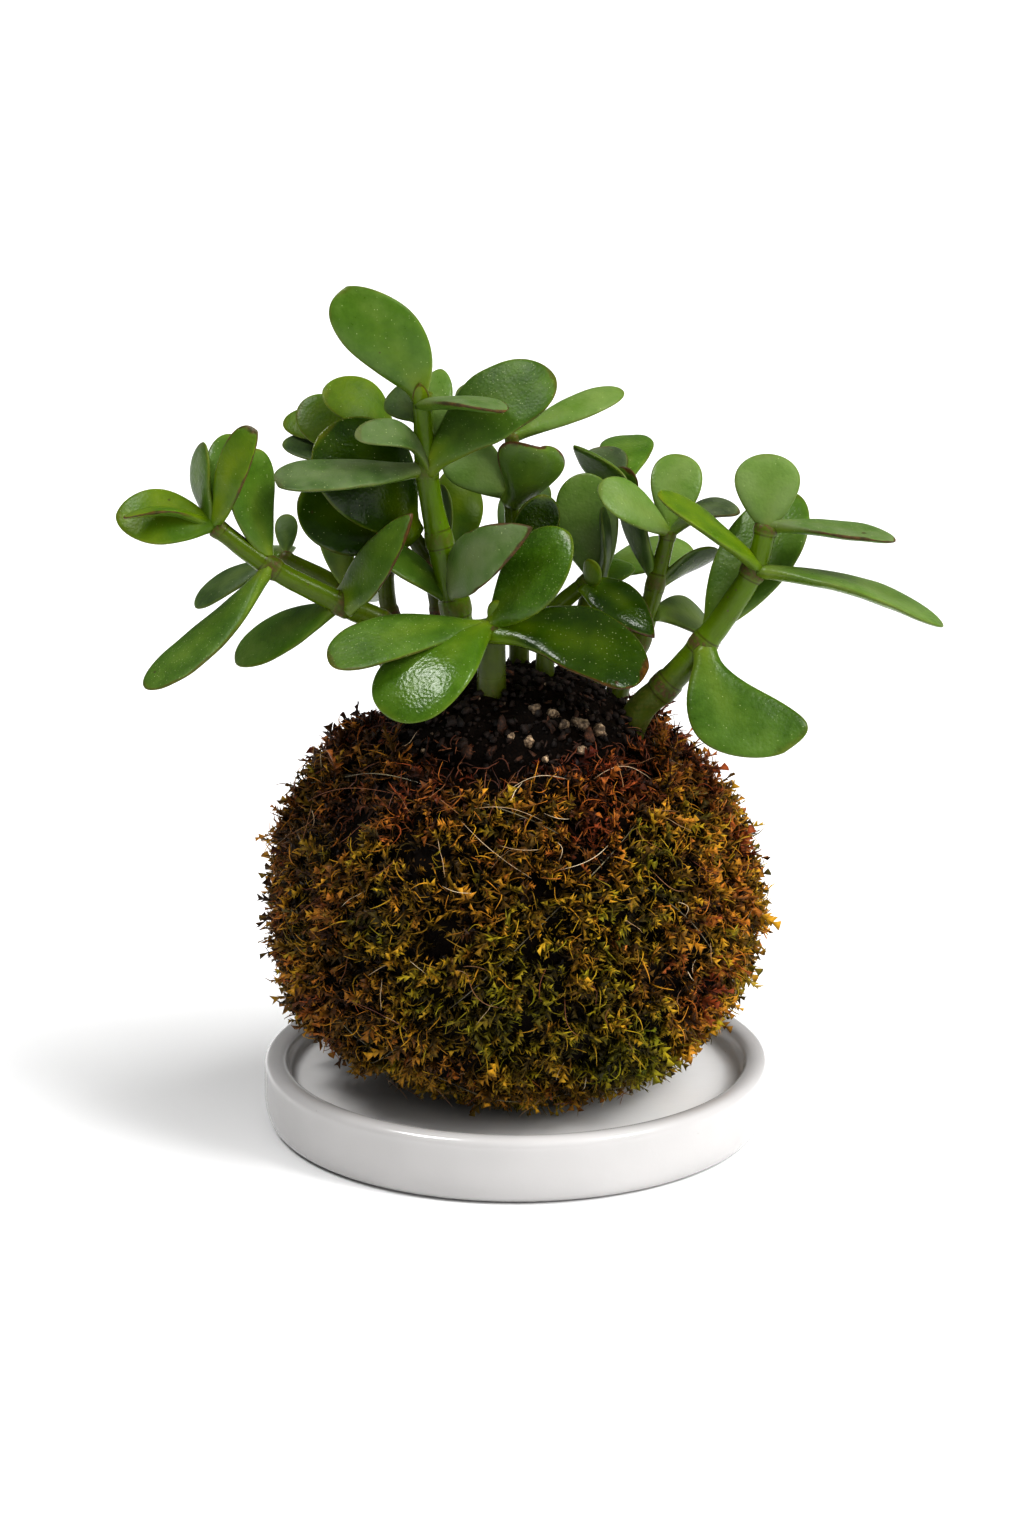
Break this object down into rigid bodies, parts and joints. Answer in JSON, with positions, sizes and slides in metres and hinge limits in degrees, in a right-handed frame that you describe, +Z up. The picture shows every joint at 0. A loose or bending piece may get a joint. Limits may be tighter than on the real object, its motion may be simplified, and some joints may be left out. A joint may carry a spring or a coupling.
{
  "type": "kokedama moss ball plant",
  "caption": "Jade plant growing from a ball of potting mix wrapped in moss and bound with clear thread, resting on a round glazed saucer.",
  "frame": {"origin": "centre of the saucer's underside, on the surface the part stands on", "axes": "+Z up, +X to the right and +Y away as seen from the front; the leafy stems spread most along X"},
  "size_m": [0.2005, 0.13, 0.213],
  "materials": {
    "glaze": "gloss",
    "moss": "matte",
    "soil": "matte",
    "thread": "satin",
    "plant": "satin"
  },
  "bodies": {
    "root": {"saucer": "glaze", "soil_ball": "soil", "moss_wrap": "moss", "binding_thread": "thread", "shoot_tall": "plant", "shoot_front": "plant", "shoot_left": "plant", "shoot_right": "plant", "shoot_middle_right": "plant", "shoot_centre": "plant", "shoot_dark": "plant", "shoot_woody": "plant", "shoot_back_left": "plant", "shoot_low": "plant", "shoot_inner_right": "plant", "shoot_back_right": "plant"}
  },
  "joints": []
}
